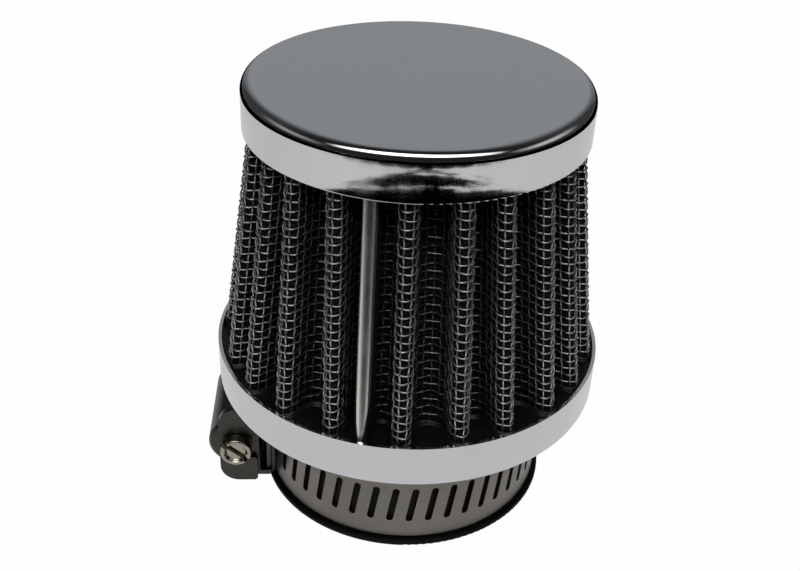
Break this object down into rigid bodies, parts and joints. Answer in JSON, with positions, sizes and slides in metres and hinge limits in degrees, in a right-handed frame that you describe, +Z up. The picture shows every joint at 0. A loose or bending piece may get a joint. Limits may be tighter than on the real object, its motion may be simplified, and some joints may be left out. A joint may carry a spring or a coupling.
{
  "type": "moped air filter",
  "caption": "Cone pod air filter: pleated wire mesh element between a chrome end cap and base ring, on a rubber neck with a worm clamp.",
  "frame": {"origin": "centre of the rubber neck's mouth, in the plane of the lip that the filter stands on", "axes": "+Z up the filter's axis toward the chrome end cap; -Y is the front, where the seam clip shows; the worm clamp's housing is on the -X side with its screw head toward -Y"},
  "size_m": [0.0624, 0.06, 0.0677],
  "materials": {
    "cap_chrome": "polished",
    "ring_chrome": "satin chrome",
    "resin": "cast polyurethane, satin",
    "wire_mesh": "drawn wire, plain weave",
    "gauze": "oiled gauze",
    "clip_steel": "folded strip, satin",
    "neck_rubber": "moulded, matte",
    "band_steel": "rolled strip, satin",
    "housing_steel": "pressed, satin",
    "screw_zinc": "bright zinc plate"
  },
  "bodies": {
    "filter": {"end_cap": "cap_chrome", "cap_resin": "resin", "outer_mesh": "wire_mesh", "filter_gauze": "gauze", "inner_mesh": "wire_mesh", "seam_clip": "clip_steel", "base_ring": "ring_chrome", "base_resin": "resin", "rubber_neck": "neck_rubber", "clamp_band": "band_steel", "clamp_housing": "housing_steel"},
    "worm_screw": {"clamp_screw": "screw_zinc"}
  },
  "joints": [
    {"name": "worm_screw_turn", "type": "hinge", "parent": "filter", "child": "worm_screw", "pos_m": [-0.02728, -0.00191, 0.00771], "axis": [0.0698, -0.9976, 0], "continuous": true}
  ]
}
